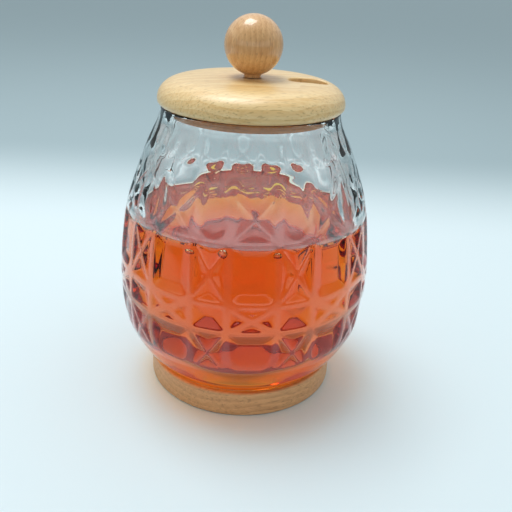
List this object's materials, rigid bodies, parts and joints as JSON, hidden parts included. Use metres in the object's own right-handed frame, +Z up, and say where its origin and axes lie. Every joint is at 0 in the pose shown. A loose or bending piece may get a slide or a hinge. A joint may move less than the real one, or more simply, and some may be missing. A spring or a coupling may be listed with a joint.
{
  "type": "honey pot",
  "caption": "Barrel-shaped pressed-glass pot of honey with a diamond lattice, on a round wooden base, with a slotted wooden lid and ball knob.",
  "frame": {"origin": "middle of the base's underside, on the surface that the pot stands on", "axes": "+Z up along the pot's axis; the lid's slot is on the +X side; -Y is the side that faces the viewer in the picture"},
  "size_m": [0.095, 0.095, 0.1387],
  "materials": {
    "jar_glass": "clear pressed glass, fire polished",
    "honey": "clear amber runny honey",
    "lid_wood": "pale lacquered wood",
    "knob_wood": "warm lacquered wood",
    "base_wood": "satin brown wood"
  },
  "bodies": {
    "root": {"glass_jar": "jar_glass", "honey": "honey", "wooden_lid": "lid_wood", "knob": "knob_wood", "wooden_base": "base_wood"}
  },
  "joints": []
}
